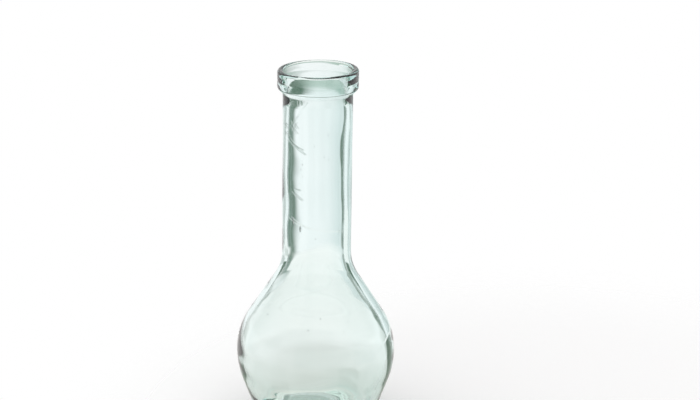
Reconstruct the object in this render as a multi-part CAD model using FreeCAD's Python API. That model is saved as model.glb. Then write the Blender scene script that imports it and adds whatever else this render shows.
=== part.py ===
# Bottle vase of blown glass: a straight neck and a round belly on a tapering body, with a thick
# band of glass laid hot round the mouth. Millimetres, +Z up, the origin under the middle of the foot.
# Sections are drawn in the plane of the axis, as radius and height, and turned about the axis.

import FreeCAD, Part
import math
import os

# Overall sizes
TOTAL_HEIGHT = 305.0
BELLY_DIAMETER = 130.0
BELLY_HEIGHT = 67.5
NECK_DIAMETER = 56.4
WALL = 5.0

# Outline of the blown body: angles are measured from the upright axis
SHOULDER_ANGLE = 33.2
TAPER_ANGLE = 20.3
NECK_SWEEP_RADIUS = 41.0
UPPER_BELLY_RADIUS = 58.0
LOWER_BELLY_RADIUS = 67.5

# Foot: a flat resting ring round a bottom that is pushed up
HEEL_RADIUS = 6.0
RESTING_RING_WIDTH = 6.0
PUNT_HEIGHT = 10.0
BASE_THICKNESS = 12.0
FLOOR_CORNER_RADIUS = 10.0

# Band round the mouth, how far it stands out from the neck, and the flare of the bore inside it
LIP_STAND = 4.4
LIP_WALL = 4.7
LIP_FACE_HEIGHT = 13.4
LIP_EDGE_RADIUS = 1.5
LIP_UNDERSIDE_HEIGHT = 4.7
LIP_OVERLAP = 6.5
LIP_GROOVE_DEPTH = 0.4
LIP_GROOVE_HEIGHT = 2.4
MOUTH_FLARE_HEIGHT = 36.0

# Where the blown glass is parted into nodes, above the pushed-up floor and above the belly's widest ring
BASE_RIM_HEIGHT = 5.0
BODY_TOP_RISE = 9.0

neck_radius = NECK_DIAMETER / 2
belly_radius = BELLY_DIAMETER / 2
bore_radius = neck_radius - WALL
lip_radius = neck_radius + LIP_STAND
mouth_radius = lip_radius - LIP_WALL
shoulder_turn = math.radians(SHOULDER_ANGLE)
taper_turn = math.radians(TAPER_ANGLE)


def point(radius, height):
    """Point of a section, at a radius from the axis and a height above the table."""
    return FreeCAD.Vector(radius, 0, height)


def polar(centre, radius, degrees):
    """Point at a radius from a section's centre; 0 degrees is outward and 90 is up."""
    turn = math.radians(degrees)
    return centre + point(radius * math.cos(turn), radius * math.sin(turn))


def arc(centre, radius, start, end):
    """Arc about a centre of the section, from one direction to another, in degrees."""
    ends = [polar(centre, radius, degrees) for degrees in (start, (start + end) / 2, end)]
    return Part.Arc(*ends).toShape()


def chain(*pieces):
    """Edges and corner points in order, joined into edges by straight lines where they are apart."""
    edges = []
    tip = None
    for piece in pieces:
        start = piece if isinstance(piece, FreeCAD.Vector) else piece.valueAt(piece.FirstParameter)
        if tip is not None and not tip.isEqual(start, Part.Precision.confusion()):
            edges.append(Part.makeLine(tip, start))
        if isinstance(piece, FreeCAD.Vector):
            tip = piece
        else:
            edges.append(piece)
            tip = piece.valueAt(piece.LastParameter)
    return edges


def section(*pieces):
    """Closed flat face in the plane of the axis, bounded by a chain that returns to its start."""
    start = pieces[0] if isinstance(pieces[0], FreeCAD.Vector) else pieces[0].valueAt(pieces[0].FirstParameter)
    return Part.Face(Part.Wire(chain(*pieces, start)))


def turned(face):
    """Solid that a section sweeps in one turn about the upright axis."""
    return face.revolve(point(0, 0), FreeCAD.Vector(0, 0, 1), 360)


def neck_end_height():
    """Height at which the straight neck ends and its sweep into the shoulder begins."""
    run = belly_radius - UPPER_BELLY_RADIUS - neck_radius - NECK_SWEEP_RADIUS
    reach = math.cos(shoulder_turn) * run + UPPER_BELLY_RADIUS + NECK_SWEEP_RADIUS
    return BELLY_HEIGHT + reach / math.sin(shoulder_turn)


def taper_reach():
    """Distance from the section's origin to the straight side below the belly, square to that side."""
    centre_radius = belly_radius - LOWER_BELLY_RADIUS
    square = math.cos(taper_turn) * centre_radius - math.sin(taper_turn) * BELLY_HEIGHT
    return square + LOWER_BELLY_RADIUS


def taper_radius(height, inset):
    """Radius, at a height, of a line that lies inside the straight lower side by an inset."""
    return (taper_reach() - inset + math.sin(taper_turn) * height) / math.cos(taper_turn)


def wall_arcs(inset):
    """Arcs of the shoulder and belly, from the neck down to the straight side, inside the skin by an inset."""
    sweep_centre = point(neck_radius + NECK_SWEEP_RADIUS, neck_end_height())
    upper_centre = point(belly_radius - UPPER_BELLY_RADIUS, BELLY_HEIGHT)
    lower_centre = point(belly_radius - LOWER_BELLY_RADIUS, BELLY_HEIGHT)
    return [
        arc(sweep_centre, NECK_SWEEP_RADIUS + inset, 180, 180 + SHOULDER_ANGLE),
        arc(upper_centre, UPPER_BELLY_RADIUS - inset, SHOULDER_ANGLE, 0),
        arc(lower_centre, LOWER_BELLY_RADIUS - inset, 0, -TAPER_ANGLE),
    ]


def heel_centre():
    """Centre of the rounding between the straight side and the table."""
    return point(taper_radius(HEEL_RADIUS, HEEL_RADIUS), HEEL_RADIUS)


def punt_dome():
    """Centre and radius of the dome pushed up inside the resting ring."""
    reach = heel_centre().x - RESTING_RING_WIDTH
    radius = (reach ** 2 + PUNT_HEIGHT ** 2) / (2 * PUNT_HEIGHT)
    return point(0, PUNT_HEIGHT - radius), radius


def floor_corner():
    """Centre of the rounding inside, between the wall and the domed floor."""
    centre, radius = punt_dome()
    away = radius + BASE_THICKNESS + FLOOR_CORNER_RADIUS
    foot = taper_radius(0, WALL + FLOOR_CORNER_RADIUS)
    slope = math.tan(taper_turn)
    a = 1 + slope ** 2
    b = foot * slope - centre.z
    c = foot ** 2 + centre.z ** 2 - away ** 2
    height = (-b + math.sqrt(b ** 2 - a * c)) / a
    return point(foot + slope * height, height)


def outer_skin(top):
    """Outside of the blown glass, from the top of the neck down to the middle of the punt."""
    heel = heel_centre()
    dome, dome_radius = punt_dome()
    rim = math.degrees(math.atan2(-dome.z, heel.x - RESTING_RING_WIDTH))
    return [
        point(neck_radius, top),
        *wall_arcs(0),
        arc(heel, HEEL_RADIUS, -TAPER_ANGLE, -90),
        arc(dome, dome_radius, rim, 90),
    ]


def inner_skin():
    """Inside of the blown glass, from the middle of the floor up to the start of the mouth's flare."""
    dome, dome_radius = punt_dome()
    corner = floor_corner()
    meet = math.degrees(math.atan2(corner.z - dome.z, corner.x))
    floor = arc(dome, dome_radius + BASE_THICKNESS, 90, meet)
    bend = arc(corner, FLOOR_CORNER_RADIUS, meet - 180, -TAPER_ANGLE)
    rising = [reverse(edge) for edge in reversed(wall_arcs(WALL))]
    return [floor, bend, *rising, point(bore_radius, flare_start())]


def reverse(edge):
    """The same arc, run the other way."""
    first, last = edge.FirstParameter, edge.LastParameter
    return Part.Arc(edge.valueAt(last), edge.valueAt((first + last) / 2), edge.valueAt(first)).toShape()


def rim_radius():
    """Radius of the rounded top edge of the lip."""
    return LIP_WALL / 2


def rim_centre():
    """Centre of the rounded top edge of the lip."""
    return point(lip_radius - rim_radius(), TOTAL_HEIGHT - rim_radius())


def flare_start():
    """Height at which the bore begins to open towards the mouth."""
    return rim_centre().z - MOUTH_FLARE_HEIGHT


def flare(low, high):
    """Inside of the mouth between two heights: a long arc that leaves the bore without a corner."""
    gain = mouth_radius - bore_radius
    radius = (MOUTH_FLARE_HEIGHT ** 2 + gain ** 2) / (2 * gain)
    centre = point(bore_radius + radius, flare_start())
    angles = [180 - math.degrees(math.asin((height - flare_start()) / radius)) for height in (low, high)]
    return arc(centre, radius, *angles)


def lip_foot_height():
    """Height of the ring where the underside of the lip meets the neck."""
    return rim_centre().z - LIP_FACE_HEIGHT - LIP_UNDERSIDE_HEIGHT


def seat_height():
    """Height of the neck's end inside the lip."""
    return lip_foot_height() + LIP_OVERLAP


def groove():
    """Shallow groove round the outer face of the lip, halfway up that face."""
    middle = rim_centre().z - LIP_FACE_HEIGHT / 2
    half = LIP_GROOVE_HEIGHT / 2
    top = point(lip_radius, middle + half)
    bottom = point(lip_radius, middle - half)
    return Part.Arc(top, point(lip_radius - LIP_GROOVE_DEPTH, middle), bottom).toShape()


def lip_bottom_edge():
    """Rounding between the outer face of the lip and its sloping underside."""
    face_foot = lip_foot_height() + LIP_UNDERSIDE_HEIGHT
    lean = math.degrees(math.atan2(LIP_UNDERSIDE_HEIGHT, lip_radius - neck_radius))
    drop = LIP_EDGE_RADIUS * math.tan(math.radians(90 - lean) / 2)
    return arc(point(lip_radius - LIP_EDGE_RADIUS, face_foot + drop), LIP_EDGE_RADIUS, 0, lean - 90)


def lip_band():
    """Band of glass laid hot round the end of the neck, rounded at the rim and sloping in below."""
    seat = seat_height()
    return turned(section(
        arc(rim_centre(), rim_radius(), 180, 0),
        groove(),
        lip_bottom_edge(),
        point(neck_radius, lip_foot_height()),
        point(neck_radius, seat),
        flare(seat, rim_centre().z),
    ))


def blown_section():
    """Section of the blown glass from the axis at the floor to the end of the neck inside the lip."""
    seat = seat_height()
    return section(*outer_skin(seat), *inner_skin(), flare(flare_start(), seat), point(neck_radius, seat))


def zone(face, low, high):
    """The part of the blown glass between two heights, turned into a solid of its own."""
    frame = Part.Face(Part.makePolygon([
        point(0, low), point(BELLY_DIAMETER, low), point(BELLY_DIAMETER, high), point(0, high), point(0, low)]))
    return turned(face.common(frame).Faces[0])


def export(name, shape):
    """Writes one solid under its node's name, once it is known to be a single sound one."""
    if not shape.isValid() or len(shape.Solids) != 1:
        raise ValueError(name + " is not one valid solid")
    box = shape.optimalBoundingBox(False)
    print(f"{name}: {shape.Volume:.0f} mm3, z {box.ZMin:.2f} to {box.ZMax:.2f}, radius {box.XMax:.2f}")
    shape.exportStep("parts/" + name + ".step")


def main():
    """Builds the lip and the four zones of the blown glass, stacked face to face."""
    os.makedirs("parts", exist_ok=True)
    blown = blown_section()
    base_top = PUNT_HEIGHT + BASE_THICKNESS + BASE_RIM_HEIGHT
    body_top = BELLY_HEIGHT + BODY_TOP_RISE
    export("lip_band", lip_band())
    export("neck", zone(blown, neck_end_height(), seat_height()))
    export("shoulder", zone(blown, body_top, neck_end_height()))
    export("body", zone(blown, base_top, body_top))
    export("base", zone(blown, 0, base_top))


main()
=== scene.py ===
# Bottle vase of blown aqua glass: the blown vessel with its seeds and chill marks, the lip band laid
# round its neck, and the pale table and studio that the glass is seen against. What the glass shows of them
# holds painted shade, painted light and a painted shadow. Metres, +Z up.

import bpy
import math
import numpy as np
from collections import namedtuple
from mathutils import Matrix, Vector

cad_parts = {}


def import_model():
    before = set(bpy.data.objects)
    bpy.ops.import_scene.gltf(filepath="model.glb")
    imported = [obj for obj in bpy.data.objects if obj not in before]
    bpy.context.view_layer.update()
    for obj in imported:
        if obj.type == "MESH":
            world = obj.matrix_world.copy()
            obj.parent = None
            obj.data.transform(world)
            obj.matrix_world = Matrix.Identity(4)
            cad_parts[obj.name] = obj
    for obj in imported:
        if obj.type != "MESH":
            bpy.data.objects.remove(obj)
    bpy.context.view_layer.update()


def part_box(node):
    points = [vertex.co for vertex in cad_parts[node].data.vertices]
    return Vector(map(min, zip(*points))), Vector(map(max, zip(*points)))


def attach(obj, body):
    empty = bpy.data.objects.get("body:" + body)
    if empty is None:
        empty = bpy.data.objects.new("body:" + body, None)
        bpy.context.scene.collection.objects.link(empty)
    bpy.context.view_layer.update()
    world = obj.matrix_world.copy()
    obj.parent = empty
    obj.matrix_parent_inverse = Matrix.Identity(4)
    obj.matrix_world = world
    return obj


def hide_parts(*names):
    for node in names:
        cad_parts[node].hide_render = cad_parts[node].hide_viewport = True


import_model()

MM = 0.001
QUARTER = math.pi / 2

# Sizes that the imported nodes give
LIP_LOW, LIP_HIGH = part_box("lip_band")
NECK_LOW, NECK_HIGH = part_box("neck")
TOTAL_HEIGHT = LIP_HIGH[2]
LIP_RADIUS = LIP_HIGH[0]
LIP_FOOT = LIP_LOW[2]
SEAT_HEIGHT = NECK_HIGH[2]
NECK_END = NECK_LOW[2]
NECK_RADIUS = NECK_HIGH[0]
BELLY_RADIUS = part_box("body")[1][0]

# Outline of the glass: angles are measured from the upright axis
BELLY_HEIGHT = 67.5 * MM
WALL = 5 * MM
SHOULDER_ANGLE = math.radians(33.2)
TAPER_ANGLE = math.radians(20.3)
NECK_SWEEP_RADIUS = 41 * MM
UPPER_BELLY_RADIUS = 58 * MM
LOWER_BELLY_RADIUS = 67.5 * MM
HEEL_RADIUS = 6 * MM
RESTING_RING_WIDTH = 6 * MM
PUNT_HEIGHT = 10 * MM
BASE_THICKNESS = 12 * MM
FLOOR_CORNER_RADIUS = 10 * MM
LIP_WALL = 4.7 * MM
LIP_FACE_HEIGHT = 13.4 * MM
LIP_UNDERSIDE_HEIGHT = 4.7 * MM
LIP_EDGE_RADIUS = 3.2 * MM
LIP_GROOVE_DEPTH = 0.08 * MM
LIP_GROOVE_HEIGHT = 2.4 * MM

# The rounded rim, and the height of its centre
RIM_RADIUS = LIP_WALL / 2
RIM_HEIGHT = TOTAL_HEIGHT - RIM_RADIUS

# The bore opens in a cone below the rim's centre, and bends into it over a short height
MOUTH_FLARE_HEIGHT = 25 * MM
MOUTH_FLARE_BEND = 5 * MM

# The two pieces of glass are fused: their shared faces lie this far apart and don't bend the light
FUSED_GAP = 0.03 * MM

# Fineness of the turned meshes, and of the lines that they are turned from
SEGMENTS = 300
ROW_STEP = 1.4 * MM
ARC_POINTS = 24
PUNT_POINTS = 60
FLOOR_POINTS = 40
NECK_BORE_POINTS = 40
MOUTH_BORE_POINTS = 14
LIP_EDGE_POINTS = 9
LIP_FACE_POINTS = 22
RIM_POINTS = 21
CREASE_ANGLE = math.radians(35)

# Camera, set from the lip's ellipse and the outline in the photograph
FRAME_WIDTH = 700
SENSOR_WIDTH = 36.0
FOCAL_PIXELS = 2164
CAMERA_DISTANCE = 1.723
CAMERA_REACH = 50
LIP_ELEVATION = math.radians(13.7)
CAMERA_PITCH = math.radians(17.12)
CAMERA_ROLL = math.radians(0.5)
VASE_PIXEL = 317


def taper_radius(height, inset):
    """Radius, at a height, of a line that lies inside the straight lower side by an inset."""
    centre_radius = BELLY_RADIUS - LOWER_BELLY_RADIUS
    square = math.cos(TAPER_ANGLE) * centre_radius - math.sin(TAPER_ANGLE) * BELLY_HEIGHT
    return (square + LOWER_BELLY_RADIUS - inset + math.sin(TAPER_ANGLE) * height) / math.cos(TAPER_ANGLE)


def arc(centre, radius, start, end, count=ARC_POINTS):
    """Points of an arc of the section, as radius and height; 0 is outward and a quarter turn is up."""
    turns = np.linspace(start, end, count)
    return [(centre[0] + radius * math.cos(t), centre[1] + radius * math.sin(t)) for t in turns]


def wall_points(inset):
    """Shoulder and belly, from the neck down to the straight side, inside the skin by an inset."""
    sweep = (NECK_RADIUS + NECK_SWEEP_RADIUS, NECK_END)
    upper = (BELLY_RADIUS - UPPER_BELLY_RADIUS, BELLY_HEIGHT)
    lower = (BELLY_RADIUS - LOWER_BELLY_RADIUS, BELLY_HEIGHT)
    return (
        arc(sweep, NECK_SWEEP_RADIUS + inset, 2 * QUARTER, 2 * QUARTER + SHOULDER_ANGLE)
        + arc(upper, UPPER_BELLY_RADIUS - inset, SHOULDER_ANGLE, 0)
        + arc(lower, LOWER_BELLY_RADIUS - inset, 0, -TAPER_ANGLE)[1:]
    )


def punt_dome():
    """Centre height and radius of the dome pushed up under the base, and its reach from the axis."""
    reach = taper_radius(HEEL_RADIUS, HEEL_RADIUS) - RESTING_RING_WIDTH
    radius = (reach ** 2 + PUNT_HEIGHT ** 2) / (2 * PUNT_HEIGHT)
    return PUNT_HEIGHT - radius, radius, reach


def floor_corner(dome, radius):
    """Centre of the rounding inside, between the wall and the domed floor."""
    away = radius + BASE_THICKNESS + FLOOR_CORNER_RADIUS
    foot = taper_radius(0, WALL + FLOOR_CORNER_RADIUS)
    slope = math.tan(TAPER_ANGLE)
    a = 1 + slope ** 2
    b = foot * slope - dome
    c = foot ** 2 + dome ** 2 - away ** 2
    height = (-b + math.sqrt(b ** 2 - a * c)) / a
    return foot + slope * height, height


def flare_radius(height):
    """Radius of the bore at a height: straight in the neck, and opening in a cone to the mouth."""
    bore = NECK_RADIUS - WALL
    slope = (LIP_RADIUS - LIP_WALL - bore) / MOUTH_FLARE_HEIGHT
    start = RIM_HEIGHT - MOUTH_FLARE_HEIGHT
    bent = min(max(height - start + MOUTH_FLARE_BEND / 2, 0), MOUTH_FLARE_BEND)
    straight = max(height - start - MOUTH_FLARE_BEND / 2, 0)
    return bore + slope * (bent ** 2 / (2 * MOUTH_FLARE_BEND) + straight)


def even(points, step=ROW_STEP):
    """The same line with its points about one step apart along it."""
    line = np.array(points)
    runs = np.hypot(*np.diff(line, axis=0).T)
    along = np.concatenate(([0], np.cumsum(runs)))
    count = max(2, int(round(along[-1] / step)) + 1)
    places = np.linspace(0, along[-1], count)
    return np.stack([np.interp(places, along, line[:, k]) for k in (0, 1)], axis=1)


def outer_line():
    """Outside of the vessel, from the middle of the punt up to the ring where the lip begins."""
    dome, radius, reach = punt_dome()
    heel = (taper_radius(HEEL_RADIUS, HEEL_RADIUS), HEEL_RADIUS)
    punt = even(arc((0, dome), radius, QUARTER, math.atan2(-dome, reach), PUNT_POINTS))
    ring = even([(reach, 0), (heel[0], 0)])
    bend = even(arc(heel, HEEL_RADIUS, -QUARTER, -TAPER_ANGLE), ROW_STEP / 2)
    wall = even(wall_points(0)[::-1])
    start = even([bend[-1], wall[0]])
    neck = even([wall[-1], (NECK_RADIUS, LIP_FOOT)])
    return np.concatenate([punt[:-1], ring[:-1], bend[:-1], start[:-1], wall[:-1], neck])


def inner_line():
    """Inside of the vessel, from the end of the neck down to the middle of the floor."""
    dome, radius, _ = punt_dome()
    corner = floor_corner(dome, radius)
    meet = math.atan2(corner[1] - dome, corner[0])
    heights = np.linspace(SEAT_HEIGHT, NECK_END + ROW_STEP, NECK_BORE_POINTS)
    neck = [(flare_radius(z), z) for z in heights]
    bend = arc(corner, FLOOR_CORNER_RADIUS, -TAPER_ANGLE, meet - math.pi)
    floor_line = arc((0, dome), radius + BASE_THICKNESS, meet, QUARTER, FLOOR_POINTS)
    return even(neck + wall_points(WALL) + bend + floor_line[1:])


# The unevenness of the blown wall is made of waves, whose rates and sizes vary within these shares
WAVE_RATES = (0.7, 1.3)
WAVE_SIZES = (0.4, 1)


def waves(seed, around, lengths):
    """Smooth field over a turned surface, of unit size, from a few waves round and along it."""
    draw = np.random.default_rng(seed)
    terms = []
    for turns in around:
        for length in lengths:
            rate = 2 * math.pi / length * draw.uniform(*WAVE_RATES)
            phase = draw.uniform(0, 2 * math.pi)
            terms.append((turns, rate, phase, draw.uniform(*WAVE_SIZES)))
    total = math.sqrt(sum(size ** 2 for *_, size in terms) / 2)

    def field(turn, height):
        parts = [size * np.sin(turns * turn + rate * height + phase) for turns, rate, phase, size in terms]
        return sum(parts) / total

    return field


OUTER_WAVES = waves(3, (0, 1, 2, 3), (0.05, 0.09, 0.17))
BORE_WAVES = waves(23, (1, 2, 3), (0.045, 0.08, 0.15))
CLOUD_WAVES = waves(31, (1, 2, 4), (0.02, 0.03, 0.045))
EDGE_WAVES = waves(8, (2, 3, 5, 7), (0.3,))

# The outside keeps its true form where the outer waves reach this many times their unit size. It is
# drawn in nearly everywhere else, and is nowhere more than 0.06 mm further out.
WAVE_CREST = 2

# How much each unevenness moves the glass, and how far from the foot, lip and axis it fades out
OUTER_SWELL = 0.15 * MM
BORE_SHIFT = -0.6 * MM
BORE_SWELL = 0.16 * MM
NECK_CLOUD = 0.01 * MM
BELLY_CLOUD = 0.09 * MM
FLOOR_EDGE_RISE = 1.6 * MM
STILL_FOOT = 20 * MM
STILL_AT_LIP = 25 * MM
STILL_MIDDLE = 20 * MM

# The rim isn't quite level: it is this much lower on the left
LIP_TILT = 1.2 * MM


def ease(value, low, high):
    """0 below low, 1 above high, and smooth between them."""
    share = np.clip((value - low) / (high - low), 0, 1)
    return share * share * (3 - 2 * share)


def shape_outside(turn, radius, height):
    """Draws the outside in from the true form, and not at all at the lip or the foot."""
    free = ease(height, 0, STILL_FOOT) * (1 - ease(height, LIP_FOOT - STILL_AT_LIP, LIP_FOOT))
    return radius + free * OUTER_SWELL * (OUTER_WAVES(turn, height) - WAVE_CREST) / WAVE_CREST, height


def shape_inside(turn, radius, height):
    """Moves the bore off centre, swells it, and gives the floor's edge a wavy line."""
    cloud = NECK_CLOUD + (BELLY_CLOUD - NECK_CLOUD) * (1 - ease(height, BELLY_HEIGHT, NECK_END))
    swell = BORE_SWELL * BORE_WAVES(turn, height) + cloud * CLOUD_WAVES(turn, height)
    move = BORE_SHIFT * np.cos(turn) + swell
    near_floor = 1 - ease(height, BELLY_HEIGHT / 3, BELLY_HEIGHT / 2)
    near_edge = ease(radius, BELLY_RADIUS / 3, BELLY_RADIUS / 2)
    rise = FLOOR_EDGE_RISE * EDGE_WAVES(turn, 0) * near_floor * near_edge
    return radius + move * np.minimum(1, radius / STILL_MIDDLE), height + rise


def shape_lip(turn, radius, height):
    """Tilts the rim down to the left, with the band's lower edge as it was."""
    share = ease(height, LIP_FOOT + LIP_UNDERSIDE_HEIGHT, TOTAL_HEIGHT)
    return radius, height - LIP_TILT * share * (1 - np.cos(turn)) / 2


def shape_mouth(turn, radius, height):
    """Inside of the lip: the bore's own unevenness, and the rim's tilt."""
    return shape_lip(turn, shape_inside(turn, radius, height)[0], height)


def as_made(turn, radius, height):
    """No change."""
    return radius, height


def turned_rows(line, shape, fused=0):
    """Rings round the axis through the points of a line, each with the mark of a fused face or 0."""
    turns = np.arange(SEGMENTS) * 2 * math.pi / SEGMENTS
    rows = []
    for radius, height in line:
        r, z = shape(turns, np.full(SEGMENTS, radius), np.full(SEGMENTS, height))
        rows.append((np.stack([r * np.cos(turns), r * np.sin(turns), z], axis=1), fused))
    return rows


def turned_shell(rows, loop):
    """Points, faces and fused marks of joined rings: in a loop, or else closed on the axis at both ends."""
    points = np.concatenate([ring for ring, _ in rows])
    index = np.arange(len(points)).reshape(len(rows), SEGMENTS)
    faces = []
    fused = []
    pairs = [(k, k + 1) for k in range(len(rows) - 1)] + ([(len(rows) - 1, 0)] if loop else [])
    for below, above in pairs:
        a, b = index[below], index[above]
        faces += np.stack([a, np.roll(a, -1), np.roll(b, -1), b], axis=1).tolist()
        fused += [min(rows[below][1], rows[above][1])] * SEGMENTS
    if not loop:
        first, last = len(points), len(points) + 1
        ends = [ring.mean(axis=0) * (0, 0, 1) for ring in (rows[0][0], rows[-1][0])]
        points = np.concatenate([points, ends])
        faces += [(first, n, k) for k, n in zip(index[0], np.roll(index[0], -1))]
        faces += [(k, n, last) for k, n in zip(index[-1], np.roll(index[-1], -1))]
        fused += [0] * (2 * SEGMENTS)
    return points, faces, fused


# Seeds: bubbles in the wall, each as azimuth from the front in degrees, height, half width and half
# height in mm
SEEN_SEEDS = [
    (-26.6, 231.6, 0.3, 0.5),
    (-29.1, 227.5, 0.2, 0.4),
    (12.1, 238.5, 0.3, 0.45),
    (19.4, 236.1, 0.3, 0.4),
    (-29.8, 177.7, 0.7, 2.7),
    (-44.6, 183.3, 0.7, 3.6),
    (4.4, 109.5, 0.4, 0.5),
    (-6.8, 101.5, 0.45, 0.5),
]
SEED_SIDES = 10
SEED_ROWS = 7

# The other sides have small ones: their number, azimuths, half widths, and height for their width
OTHER_SEEDS = 26
OTHER_SEEDS_TURN = (50, 310)
OTHER_SEEDS_WIDTH = (0.15, 0.4)
OTHER_SEEDS_STRETCH = (1, 2.2)


def all_seeds():
    """The seeds seen in the photograph, and small ones strewn over the other sides."""
    draw = np.random.default_rng(5)
    seeds = list(SEEN_SEEDS)
    for _ in range(OTHER_SEEDS):
        size = draw.uniform(*OTHER_SEEDS_WIDTH)
        height = draw.uniform(STILL_FOOT, LIP_FOOT) / MM
        turn = draw.uniform(*OTHER_SEEDS_TURN)
        seeds.append((turn, height, size, size * draw.uniform(*OTHER_SEEDS_STRETCH)))
    return seeds


def seed_ring(first, row):
    """Indices of the points in one ring of a bubble whose lowest point has the index first."""
    return first + 1 + row * SEED_SIDES + np.arange(SEED_SIDES)


def seed_shell(seed, first, line):
    """Points and faces of one bubble, a small egg turned inside out in the middle of the wall."""
    azimuth, height, half_width, half_height = seed
    turn = math.radians(azimuth) - QUARTER
    middle = np.interp(height * MM, line[:, 1], line[:, 0]) - WALL / 2
    centre = np.array([middle * math.cos(turn), middle * math.sin(turn), height * MM])
    tilts = np.linspace(-QUARTER, QUARTER, SEED_ROWS + 2)[1:-1]
    sides = np.arange(SEED_SIDES) * 2 * math.pi / SEED_SIDES
    points = [centre - (0, 0, half_height * MM)]
    for tilt in tilts:
        r = half_width * MM * math.cos(tilt)
        z = half_height * MM * math.sin(tilt)
        points += [centre + (r * math.cos(s), r * math.sin(s), z) for s in sides]
    points.append(centre + (0, 0, half_height * MM))
    lowest, highest = seed_ring(first, 0), seed_ring(first, SEED_ROWS - 1)
    top = first + len(points) - 1
    faces = [(first, k, n) for k, n in zip(lowest, np.roll(lowest, -1))]
    for row in range(SEED_ROWS - 1):
        a, b = seed_ring(first, row), seed_ring(first, row + 1)
        faces += np.stack([a, b, np.roll(b, -1), np.roll(a, -1)], axis=1).tolist()
    faces += [(k, top, n) for k, n in zip(highest, np.roll(highest, -1))]
    return points, faces


def glass_mesh(name, points, faces, fused):
    """Smooth mesh whose faces carry the mark that tells where they are fused to the other piece."""
    mesh = bpy.data.meshes.new(name)
    mesh.from_pydata(points, [], faces)
    mesh.polygons.foreach_set("use_smooth", [True] * len(faces))
    mesh.update()
    mesh.set_sharp_from_angle(angle=CREASE_ANGLE)
    mark = mesh.attributes.new("fused", "FLOAT", "FACE")
    mark.data.foreach_set("value", [float(value) for value in fused])
    return mesh


def vessel_mesh():
    """The blown vessel: its outside from the punt up, its end, the bore and floor inside, and seeds."""
    outside = outer_line()
    inside = inner_line()
    neck_end = [(NECK_RADIUS, SEAT_HEIGHT), tuple(inside[0])]
    rows = turned_rows(outside[1:-1], shape_outside)
    rows += turned_rows(even([outside[-1], neck_end[0]])[:-1], as_made, 1)
    rows += turned_rows(even(neck_end)[:-1], as_made, 1)
    rows += turned_rows(inside[:1], shape_inside, 1)
    rows += turned_rows(inside[1:-1], shape_inside)
    points, faces, fused = turned_shell(rows, loop=False)
    points = points.tolist()
    rising = outside[np.argmax(outside[:, 0] > RESTING_RING_WIDTH + punt_dome()[2]):]
    for seed in all_seeds():
        more_points, more_faces = seed_shell(seed, len(points), rising)
        points += more_points
        faces += more_faces
        fused += [0] * len(more_faces)
    return glass_mesh("blown_vessel", points, faces, fused)


def lip_face():
    """Outer side of the lip, from the ring at the neck: underside, rounded edge and grooved face."""
    lean = math.atan2(LIP_UNDERSIDE_HEIGHT, LIP_RADIUS - NECK_RADIUS)
    drop = LIP_EDGE_RADIUS * math.tan((QUARTER - lean) / 2)
    centre = (LIP_RADIUS - LIP_EDGE_RADIUS, LIP_FOOT + LIP_UNDERSIDE_HEIGHT + drop)
    edge = arc(centre, LIP_EDGE_RADIUS, lean - QUARTER, 0, LIP_EDGE_POINTS)
    middle = RIM_HEIGHT - LIP_FACE_HEIGHT / 2
    heights = np.linspace(edge[-1][1], RIM_HEIGHT, LIP_FACE_POINTS)[1:-1]
    notches = np.exp(-((heights - middle) / (LIP_GROOVE_HEIGHT / 2)) ** 2)
    face = [(LIP_RADIUS - LIP_GROOVE_DEPTH * notch, z) for notch, z in zip(notches, heights)]
    under = even([(NECK_RADIUS + FUSED_GAP, LIP_FOOT), edge[0]], LIP_EDGE_RADIUS / 2)[1:-1]
    return [tuple(p) for p in under] + edge + face


def lip_mesh():
    """The lip band, a closed ring round the end of the neck."""
    seat = SEAT_HEIGHT + FUSED_GAP
    recess = NECK_RADIUS + FUSED_GAP
    rim = arc((LIP_RADIUS - RIM_RADIUS, RIM_HEIGHT), RIM_RADIUS, 0, math.pi, RIM_POINTS)
    bore = [(flare_radius(z), z) for z in np.linspace(RIM_HEIGHT, seat, MOUTH_BORE_POINTS)[1:]]
    rows = turned_rows(even([bore[-1], (recess, seat)])[1:-1], as_made, 1)
    rows += turned_rows(even([(recess, seat), (recess, LIP_FOOT)]), as_made, 1)
    rows += turned_rows(lip_face() + rim[:-1], shape_lip)
    rows += turned_rows([rim[-1]] + bore[:-1], shape_mouth)
    rows += turned_rows(bore[-1:], shape_mouth, 1)
    return glass_mesh("lip_band_glass", *turned_shell(rows, loop=True))


def maths(tree, operation, *values):
    """Math node on numbers or outputs, and its output."""
    node = tree.nodes.new("ShaderNodeMath")
    node.operation = operation
    for socket, value in zip(node.inputs, values):
        if isinstance(value, bpy.types.NodeSocket):
            tree.links.new(value, socket)
        else:
            socket.default_value = value
    return node.outputs[0]


def product(tree, first, *others):
    """Product of numbers or outputs."""
    for other in others:
        first = maths(tree, "MULTIPLY", first, other)
    return first


def ramp(tree, value, low, high, first=0.0, last=1.0):
    """Smooth change from first to last as value goes from low to high."""
    node = tree.nodes.new("ShaderNodeMapRange")
    node.interpolation_type = "SMOOTHSTEP"
    tree.links.new(value, node.inputs["Value"])
    for name, number in (("From Min", low), ("From Max", high), ("To Min", first), ("To Max", last)):
        node.inputs[name].default_value = number
    return node.outputs["Result"]


def fall(tree, value, low, high):
    """Smooth change from 1 to 0 as value goes from low to high."""
    return ramp(tree, value, low, high, 1.0, 0.0)


def blend(tree, kind, share, first, second):
    """Mix of two colours or two numbers, given as values or outputs."""
    node = tree.nodes.new("ShaderNodeMix")
    node.data_type = kind
    for name, value in (("Factor", share), ("A", first), ("B", second)):
        socket = next(s for s in node.inputs if s.name == name and s.enabled)
        if isinstance(value, bpy.types.NodeSocket):
            tree.links.new(value, socket)
        else:
            socket.default_value = value
    return next(s for s in node.outputs if s.enabled)


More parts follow.
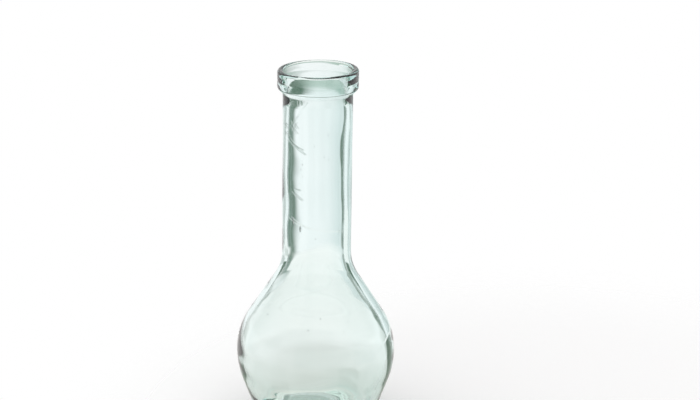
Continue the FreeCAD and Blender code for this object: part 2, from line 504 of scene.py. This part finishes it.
def coordinates(tree, kind):
    """X, Y and Z of the shaded place, from one of Texture Coordinate's outputs."""
    place = tree.nodes.new("ShaderNodeTexCoord")
    parts = tree.nodes.new("ShaderNodeSeparateXYZ")
    tree.links.new(place.outputs[kind], parts.inputs[0])
    return parts.outputs["X"], parts.outputs["Y"], parts.outputs["Z"]


def light_path(tree, name):
    """One output of Light Path."""
    return tree.nodes.new("ShaderNodeLightPath").outputs[name]


def through_glass(tree):
    """1 for what is seen in the glass or through it, and 0 for what the camera sees directly."""
    return maths(tree, "MAXIMUM", light_path(tree, "Is Glossy Ray"), light_path(tree, "Is Transmission Ray"))


# A ray passes two faces of the glass for each wall that it goes through
TWO_WALLS_DEPTH = (2.0, 3.0)


def two_walls(tree):
    """1 for what is seen through both walls of the vase, and 0 for what is seen through one."""
    return ramp(tree, light_path(tree, "Transmission Depth"), *TWO_WALLS_DEPTH)


# Clear aqua glass: how it bends light, and what it takes from light along the path inside
GLASS_IOR = 1.51
GLASS_DENSITY = 20.0
GLASS_KEEPS = (0.4, 0.9, 0.87, 1.0)

# Chill marks, scratches and the mould's seam: azimuth from the front in degrees and height in mm of
# both ends, how far the middle lies off the straight line, and the half width, both in mm
MARKS = [
    (-17.6, 283, -38.6, 268.6, 0, 0.35),
    (-39.6, 267.7, -49.9, 261.8, 0, 0.4),
    (-37.5, 265.5, -46.2, 258.9, 0, 0.4),
    (-49.9, 261.8, -37.3, 256.5, 0, 0.4),
    (-48.7, 266.1, -35.6, 260.7, 0, 0.4),
    (-79, 260.8, -60.6, 258.8, 0, 0.5),
    (-74.5, 254.4, -57.9, 252.7, 0, 0.5),
    (-58, 251.1, -24.6, 243.8, -1, 0.45),
    (-55.8, 250.5, -20.4, 240.2, -0.5, 0.4),
    (-45.4, 208.3, -25.2, 202.2, -0.3, 0.4),
    (-40.4, 210.5, -29.7, 209.8, 0.3, 0.4),
    (-52.6, 185.7, -3.5, 178.5, -0.9, 0.45),
    (-3.5, 178.5, 47.5, 174.8, -0.4, 0.35),
    (-34.8, 284, -34.4, 280.5, 0, 0.4),
    (-28, 283.8, -27.4, 280.5, 0, 0.5),
]
MARK_DEPTH = 0.055 * MM


def mark_height(tree, along, up, mark):
    """1 on the middle of one mark and 0 away from it, at a place along the neck's skin and up it."""
    azimuth, height, end_azimuth, end_height, bend, half_width = mark
    start = np.array([math.radians(azimuth) * NECK_RADIUS, height * MM])
    end = np.array([math.radians(end_azimuth) * NECK_RADIUS, end_height * MM])
    length = np.linalg.norm(end - start)
    way = (end - start) / length
    side = np.array([-way[1], way[0]]) * (1 if way[0] > 0 else -1)
    far = maths(tree, "MULTIPLY_ADD", up, way[1], -start @ way)
    far = maths(tree, "MULTIPLY_ADD", along, way[0], far)
    off = maths(tree, "MULTIPLY_ADD", up, side[1], -start @ side)
    off = maths(tree, "MULTIPLY_ADD", along, side[0], off)
    share = maths(tree, "DIVIDE", far, length)
    share.node.use_clamp = True
    past = maths(tree, "MULTIPLY_ADD", share, -length, far)
    # The arch is a quarter at the mark's middle, so four times the bend is taken from it
    arch = product(tree, share, maths(tree, "SUBTRACT", 1.0, share))
    off = maths(tree, "MULTIPLY_ADD", arch, -4 * bend * MM, off)
    gap = maths(tree, "SQRT", maths(tree, "MULTIPLY_ADD", off, off, product(tree, past, past)))
    return fall(tree, gap, 0.0, half_width * MM)


def marked_normal(tree):
    """Normal of the glass with its marks, by azimuth and height on the vase."""
    x, y, z = coordinates(tree, "Object")
    turn = maths(tree, "ARCTAN2", x, product(tree, y, -1.0))
    along = product(tree, turn, NECK_RADIUS)
    total = 0.0
    for mark in MARKS:
        total = maths(tree, "MAXIMUM", total, mark_height(tree, along, z, mark))
    bump = tree.nodes.new("ShaderNodeBump")
    bump.inputs["Strength"].default_value = 1.0
    bump.inputs["Distance"].default_value = MARK_DEPTH
    tree.links.new(total, bump.inputs["Height"])
    return bump.outputs["Normal"]


# The punt and the ring that it stands on are left as the mould's bottom made them, a little rough
UNDERSIDE_ROUGHNESS = 0.7


def underside_roughness(tree):
    """Roughness of the glass: none, except on the punt and the resting ring."""
    x, y, z = coordinates(tree, "Object")
    across = maths(tree, "SQRT", maths(tree, "MULTIPLY_ADD", x, x, product(tree, y, y)))
    low = ramp(tree, z, PUNT_HEIGHT, PUNT_HEIGHT + ROW_STEP, UNDERSIDE_ROUGHNESS, 0.0)
    ring = taper_radius(HEEL_RADIUS, HEEL_RADIUS)
    return product(tree, low, fall(tree, across, ring, ring + ROW_STEP))


def glass_material():
    """Clear glass that takes red from the light inside it, and lets it straight through fused faces."""
    material = bpy.data.materials.new("aqua_glass")
    material.use_nodes = True
    tree = material.node_tree
    shader = tree.nodes["Principled BSDF"]
    shader.inputs["Base Color"].default_value = (1, 1, 1, 1)
    shader.inputs["Transmission Weight"].default_value = 1.0
    tree.links.new(underside_roughness(tree), shader.inputs["Roughness"])
    mark = tree.nodes.new("ShaderNodeAttribute")
    mark.attribute_name = "fused"
    bending = maths(tree, "MULTIPLY_ADD", mark.outputs["Fac"], 1 - GLASS_IOR, GLASS_IOR)
    tree.links.new(bending, shader.inputs["IOR"])
    tree.links.new(marked_normal(tree), shader.inputs["Normal"])
    absorb = tree.nodes.new("ShaderNodeVolumeAbsorption")
    absorb.inputs["Color"].default_value = GLASS_KEEPS
    absorb.inputs["Density"].default_value = GLASS_DENSITY
    tree.links.new(absorb.outputs["Volume"], tree.nodes["Material Output"].inputs["Volume"])
    return material


def add_piece(mesh, material, *nodes):
    """Puts a glass piece in the scene, in place of the solids that it stands for."""
    piece = bpy.data.objects.new(mesh.name, mesh)
    bpy.context.scene.collection.objects.link(piece)
    mesh.materials.append(material)
    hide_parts(*nodes)
    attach(piece, "root")


# Studio: white panels in a ring with dark gaps between them, which show through the glass only. The gaps,
# the shade on the panels and the dark ceiling are painted reflection and painted shade for the glass.
# Azimuths are in degrees from +X, turning to +Y, with the backdrop behind the vase at 90, and repeat by
# quarters.
# A gap has its start, the two ends of its full depth and its end, the sines of the elevations that it
# reaches down and up to, whether its start and its end lean, how far it lies aside low down, and how
# dark it is through one wall and through both.
QUARTER_START = 45
Gap = namedtuple(
    "Gap", "start full full_end end bottom top start_lean end_lean shift through_one through_two")

# The last two are one gap that runs over the ends of the quarter
PAINTED_DARK_GAPS = [
    Gap(51, 55, 67, 70, -0.31, -0.15, 0, 1, 0, 0.3, 1),
    Gap(93.5, 101, 123, 128, -0.5, -0.18, 1, 0, -6, 0.5, 1),
    Gap(123, 127, 136, 140, -0.2, 0.1, 0, 0, 0, 1, 0),
    Gap(40, 44, 50, 54, -0.2, 0.1, 0, 0, 0, 1, 0),
]
# Painted dark colour of the gaps, the ceiling and the table's dark patches, seen only through the glass
PAINTED_DARK_COLOUR = (0.005, 0.08, 0.03, 1)
GAP_SOFTNESS = 0.03

# Away from the backdrop the gaps have this share of their depth. It eases to full between these two
# values of a direction's +Y part, which is 1 towards the backdrop.
PALE_GAPS_SHARE = 0.2
PALE_GAPS_END = (0.3, 0.7)

# The ceiling is painted dark too, for the glass only, above these sines of the elevation
PAINTED_DARK_CEILING = (0.15, 0.3)

# Above a level, the gaps lean by this many degrees of azimuth for each unit of the elevation's sine.
# Further down they lie aside, and the panels have painted shade, darker low down.
LEAN = 85
LEAN_LEVEL = -0.29
ASIDE = (-0.36, -0.31)
STEEP = (-0.45, -0.34)
PAINTED_LOW_SHADE = (0.5, 0.62, 0.55, 1)

# Painted shade: every panel is a little darker towards its right end
PAINTED_RIGHT_SHADE = (0.72, 0.78, 0.77, 1)
PANEL_END = (57, 61)
PANEL_EASE = (72, 96)


def quarter_turn(tree, x, y):
    """Azimuth in degrees, counted within one quarter of the studio."""
    degrees = math.degrees(QUARTER)
    angle = maths(tree, "ARCTAN2", y, x)
    # Four whole quarters more keep the number above 0
    quarters = maths(tree, "MULTIPLY_ADD", angle, 1 / QUARTER, 4 - QUARTER_START / degrees)
    return maths(tree, "MULTIPLY_ADD", maths(tree, "FRACT", quarters), degrees, QUARTER_START)


def painted_panel_shade(tree, turn, rise):
    """Colour of the white panels with their painted shade, by azimuth within the quarter and by the
    elevation's sine.
    """
    share = maths(tree, "MAXIMUM", ramp(tree, turn, *PANEL_EASE), fall(tree, turn, *PANEL_END))
    level = blend(tree, "RGBA", share, PAINTED_RIGHT_SHADE, (1, 1, 1, 1))
    low = blend(tree, "RGBA", fall(tree, rise, *STEEP), (1, 1, 1, 1), PAINTED_LOW_SHADE)
    colour = blend(tree, "RGBA", 1.0, level, low)
    colour.node.blend_type = "MULTIPLY"
    return colour


def gap_band(tree, gap, place, leaning, rise):
    """1 in one dark gap and 0 outside it, by place in the quarter and by the elevation's sine."""
    start_place = maths(tree, "MULTIPLY_ADD", leaning, gap.start_lean, place)
    end_place = maths(tree, "MULTIPLY_ADD", leaning, gap.end_lean, place)
    return product(
        tree,
        ramp(tree, start_place, gap.start, gap.full),
        fall(tree, end_place, gap.full_end, gap.end),
        ramp(tree, rise, gap.bottom - GAP_SOFTNESS, gap.bottom),
        fall(tree, rise, gap.top, gap.top + GAP_SOFTNESS),
    )


def painted_dark_share(tree, turn, rise, back):
    """1 in the painted dark gaps between the panels and on the painted dark ceiling, seen through the glass,
    and 0 elsewhere.
    """
    both = two_walls(tree)
    aside = fall(tree, rise, *ASIDE)
    leaning = maths(tree, "MULTIPLY_ADD", maths(tree, "MAXIMUM", rise, LEAN_LEVEL), -LEAN, LEAN * LEAN_LEVEL)
    gaps = 0.0
    for gap in PAINTED_DARK_GAPS:
        place = maths(tree, "MULTIPLY_ADD", aside, -gap.shift, turn)
        band = gap_band(tree, gap, place, leaning, rise)
        shown = maths(tree, "MULTIPLY_ADD", both, gap.through_two - gap.through_one, gap.through_one)
        gaps = maths(tree, "MAXIMUM", gaps, product(tree, band, shown))
    gaps = product(tree, gaps, ramp(tree, back, *PALE_GAPS_END, PALE_GAPS_SHARE))
    dark = maths(tree, "MAXIMUM", gaps, ramp(tree, rise, *PAINTED_DARK_CEILING))
    return product(tree, dark, light_path(tree, "Is Transmission Ray"))


def painted_studio_colour(tree):
    """Painted reflection that the glass sees round about: white panels in a ring, painted dark gaps between
    them, a painted dark ceiling.
    """
    x, y, z = coordinates(tree, "Generated")
    turn = quarter_turn(tree, x, y)
    return blend(tree, "RGBA", painted_dark_share(tree, turn, z, y), painted_panel_shade(tree, turn, z), PAINTED_DARK_COLOUR)


def world():
    """Plain white light, white for the camera, with the painted panels, painted shade and dark gaps for the
    glass to show.
    """
    scene_world = bpy.data.worlds.new("studio")
    bpy.context.scene.world = scene_world
    scene_world.use_nodes = True
    tree = scene_world.node_tree
    tree.nodes.clear()
    background = tree.nodes.new("ShaderNodeBackground")
    colour = blend(tree, "RGBA", through_glass(tree), (1, 1, 1, 1), painted_studio_colour(tree))
    tree.links.new(colour, background.inputs["Color"])
    output = tree.nodes.new("ShaderNodeOutputWorld")
    tree.links.new(background.outputs[0], output.inputs["Surface"])


FLOOR_RADIUS = 1.0
FLOOR_SIDES = 64
FLOOR_COLOUR = (0.975, 0.97, 0.97, 1)
FLOOR_MIDDLE = (0.2, 0.0, 0.0)
FLOOR_FADE = (0.2, 0.42)

# Seen through the glass, the table glows with set colours instead of being lit: painted light right under
# the vase, a painted grey-green shadow of the vase near it, white further off, and it ends elsewhere. Each
# step outward has the distances at which it begins and is complete, and its colour.
PAINTED_UNDER_VASE_LIGHT = (0.97, 0.91, 0.85, 1)
PAINTED_SHADOW_STEPS = [
    (0.045, 0.06, (0.71, 0.725, 0.68, 1)),
    (0.08, 0.19, (0.89, 0.88, 0.855, 1)),
    (0.19, 0.24, (1.0, 0.985, 0.965, 1)),
]
GLASS_FLOOR_FADE = (0.42, 0.47)

# Painted dark patches, shade seen through one wall of the glass only, lie on the table in one sector of each
# quarter that runs over the quarter's ends. There the table also reaches further. On the left the patches
# are paler, except close to the vase.
PAINTED_DARK_START = (119, 123)
PAINTED_DARK_END = (56, 60)
PAINTED_DARK_NEAR = (0.07, 0.09)
PAINTED_DARK_FAR = (0.42, 0.46)
PAINTED_DARK_FLOOR_REACH = 0.2
LEFT_PAINTED_DARK_SHARE = 0.3
LEFT_PAINTED_DARK_NEAR = (0.14, 0.19)
LEFT_EASE = 0.05


def table_distance(tree, middle=(0, 0, 0)):
    """Distance on the table top from a place on it."""
    place = tree.nodes.new("ShaderNodeTexCoord")
    offset = tree.nodes.new("ShaderNodeVectorMath")
    offset.operation = "DISTANCE"
    tree.links.new(place.outputs["Object"], offset.inputs[0])
    offset.inputs[1].default_value = middle
    return offset.outputs["Value"]


def painted_dark_sector(tree):
    """1 in the sector of the painted dark patches, seen through one wall, less on the left, and 0 elsewhere.
    """
    x, y, _ = coordinates(tree, "Object")
    turn = quarter_turn(tree, x, y)
    sector = maths(tree, "MAXIMUM", ramp(tree, turn, *PAINTED_DARK_START), fall(tree, turn, *PAINTED_DARK_END))
    right = ramp(tree, x, -LEFT_EASE, LEFT_EASE, LEFT_PAINTED_DARK_SHARE)
    side = maths(tree, "MAXIMUM", right, fall(tree, table_distance(tree), *LEFT_PAINTED_DARK_NEAR))
    one_wall = maths(tree, "SUBTRACT", 1.0, two_walls(tree))
    return product(tree, sector, side, one_wall, light_path(tree, "Is Transmission Ray"))


def floor_fade(tree):
    """How far the table top has faded away into the white round about."""
    plain = ramp(tree, table_distance(tree, FLOOR_MIDDLE), *FLOOR_FADE)
    nearer = maths(tree, "MULTIPLY_ADD", painted_dark_sector(tree), -PAINTED_DARK_FLOOR_REACH, table_distance(tree))
    return blend(tree, "FLOAT", through_glass(tree), plain, ramp(tree, nearer, *GLASS_FLOOR_FADE))


def painted_shadow_floor_colour(tree):
    """Colour that the table top glows with when it is seen through the glass: painted light and shadow, and
    painted dark patches.
    """
    distance = table_distance(tree)
    colour = PAINTED_UNDER_VASE_LIGHT
    for start, end, next_colour in PAINTED_SHADOW_STEPS:
        colour = blend(tree, "RGBA", ramp(tree, distance, start, end), colour, next_colour)
    # Painted dark patches on the table, in the painted dark colour, between these distances from the vase
    reach = product(tree, ramp(tree, distance, *PAINTED_DARK_NEAR), fall(tree, distance, *PAINTED_DARK_FAR))
    return blend(tree, "RGBA", product(tree, painted_dark_sector(tree), reach), colour, PAINTED_DARK_COLOUR)


def floor_material():
    """Pale paint, or set colours of painted light and shadow where it is seen through the glass, faded away
    further off.
    """
    material = bpy.data.materials.new("table_top")
    material.use_nodes = True
    tree = material.node_tree
    tree.nodes.clear()
    paint = tree.nodes.new("ShaderNodeBsdfDiffuse")
    paint.inputs["Color"].default_value = FLOOR_COLOUR
    seen = tree.nodes.new("ShaderNodeEmission")
    tree.links.new(painted_shadow_floor_colour(tree), seen.inputs["Color"])
    top = tree.nodes.new("ShaderNodeMixShader")
    tree.links.new(through_glass(tree), top.inputs[0])
    tree.links.new(paint.outputs[0], top.inputs[1])
    tree.links.new(seen.outputs[0], top.inputs[2])
    clear = tree.nodes.new("ShaderNodeBsdfTransparent")
    mix = tree.nodes.new("ShaderNodeMixShader")
    tree.links.new(floor_fade(tree), mix.inputs[0])
    tree.links.new(top.outputs[0], mix.inputs[1])
    tree.links.new(clear.outputs[0], mix.inputs[2])
    output = tree.nodes.new("ShaderNodeOutputMaterial")
    tree.links.new(mix.outputs[0], output.inputs["Surface"])
    return material


def floor():
    """Pale table top that fades into the white round about, and keeps the vase's shadow."""
    turns = np.arange(FLOOR_SIDES) * 2 * math.pi / FLOOR_SIDES
    rim = [(FLOOR_RADIUS * math.cos(t), FLOOR_RADIUS * math.sin(t), 0) for t in turns]
    mesh = bpy.data.meshes.new("table_top")
    mesh.from_pydata(rim, [], [tuple(range(FLOOR_SIDES))])
    mesh.materials.append(floor_material())
    table = bpy.data.objects.new("table_top", mesh)
    bpy.context.scene.collection.objects.link(table)


def camera():
    """Camera at the photograph's place, looking down at the lip, with the vase left of the middle."""
    data = bpy.data.cameras.new("camera")
    data.sensor_width = SENSOR_WIDTH
    data.lens = SENSOR_WIDTH * FOCAL_PIXELS / FRAME_WIDTH
    data.shift_x = (FRAME_WIDTH / 2 - VASE_PIXEL) / FRAME_WIDTH
    data.clip_end = CAMERA_REACH
    back = CAMERA_DISTANCE * math.cos(LIP_ELEVATION)
    up = CAMERA_DISTANCE * math.sin(LIP_ELEVATION)
    view = bpy.data.objects.new("camera", data)
    bpy.context.scene.collection.objects.link(view)
    turn = Matrix.Rotation(QUARTER - CAMERA_PITCH, 4, "X") @ Matrix.Rotation(CAMERA_ROLL, 4, "Z")
    view.matrix_world = Matrix.Translation(Vector((0, -back, RIM_HEIGHT + up))) @ turn
    bpy.context.scene.camera = view


def main():
    """Builds the vase, the table and the studio."""
    glass = glass_material()
    add_piece(vessel_mesh(), glass, "neck", "shoulder", "body", "base")
    add_piece(lip_mesh(), glass, "lip_band")
    floor()
    world()
    camera()
    bpy.context.scene.view_settings.view_transform = "Standard"


main()
